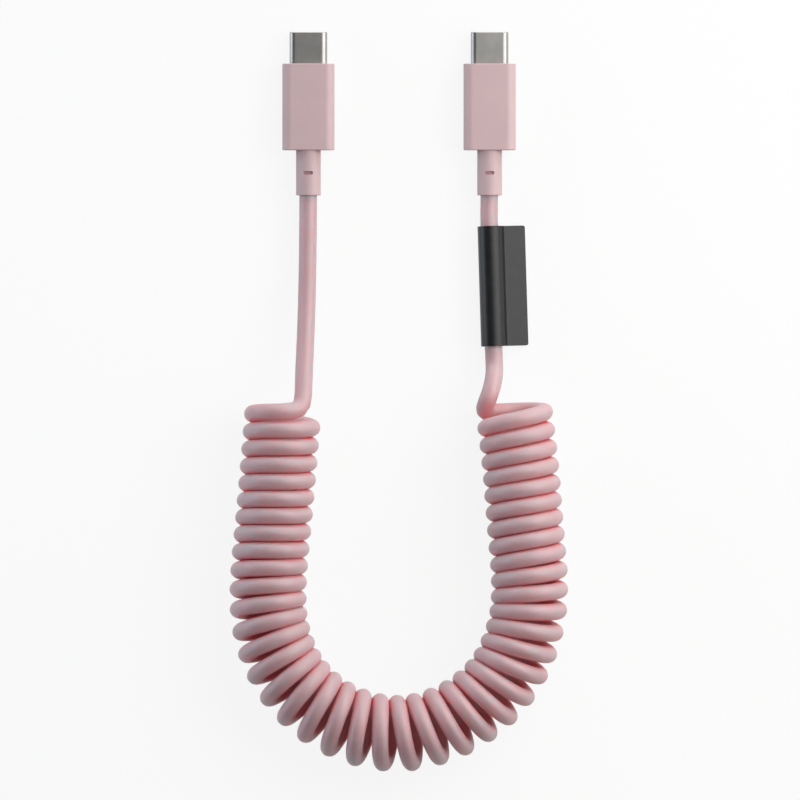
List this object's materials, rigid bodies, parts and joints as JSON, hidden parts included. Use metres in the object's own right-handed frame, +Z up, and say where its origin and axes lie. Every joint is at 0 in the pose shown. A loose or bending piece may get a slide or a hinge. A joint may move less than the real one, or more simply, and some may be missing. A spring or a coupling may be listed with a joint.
{
  "type": "coiled usb-c cable",
  "caption": "Curly cable with a reversible plug at each end, lying in a U, with soft strain reliefs and a loose folded tag on one straight stretch; carries power and data.",
  "frame": {"origin": "on the table under the plugs, midway between them and at the middle of their length", "axes": "+X from plug a to plug b, +Y the way the plugs point, +Z up from the table"},
  "size_m": [0.0736, 0.1618, 0.0167],
  "materials": {
    "plug_body": "smooth moulded plastic in dusty pink, satin",
    "soft_sleeve": "soft moulded sleeve in the same pink, matt",
    "cord_jacket": "smooth extruded jacket in pink, satin",
    "nose_steel": "drawn stainless steel with a fine grain",
    "insulator": "black moulded insulator",
    "contact_gold": "gold plated spring contacts",
    "spring_steel": "bright spring steel",
    "circuit_board": "green board",
    "shield_steel": "tinned steel sheet",
    "inner_mould": "natural coloured inner moulding",
    "wire_jacket": "coloured wire insulation",
    "tag_rubber": "black folded strip, satin"
  },
  "bodies": {
    "cable": {"housing_a": "plug_body", "strain_relief_a": "soft_sleeve", "nose_shell_a": "nose_steel", "insulator_a": "insulator", "contacts_upper_a": "contact_gold", "contacts_lower_a": "contact_gold", "latch_a": "spring_steel", "emi_spring_upper_a": "spring_steel", "emi_spring_lower_a": "spring_steel", "paddle_card_a": "circuit_board", "rear_shield_a": "shield_steel", "inner_mould_a": "inner_mould", "wires_a": "wire_jacket", "housing_b": "plug_body", "strain_relief_b": "soft_sleeve", "nose_shell_b": "nose_steel", "insulator_b": "insulator", "contacts_upper_b": "contact_gold", "contacts_lower_b": "contact_gold", "latch_b": "spring_steel", "emi_spring_upper_b": "spring_steel", "emi_spring_lower_b": "spring_steel", "paddle_card_b": "circuit_board", "rear_shield_b": "shield_steel", "inner_mould_b": "inner_mould", "wires_b": "wire_jacket", "cord_a": "cord_jacket", "coil": "cord_jacket", "cord_b": "cord_jacket"},
    "tag": {"cord_tag": "tag_rubber"}
  },
  "joints": [
    {"name": "tag_slide", "type": "slide", "parent": "cable", "child": "tag", "axis": [-0.0303, 0.9994, -0.0168], "range_m": [-0.0015, 0.006]}
  ]
}
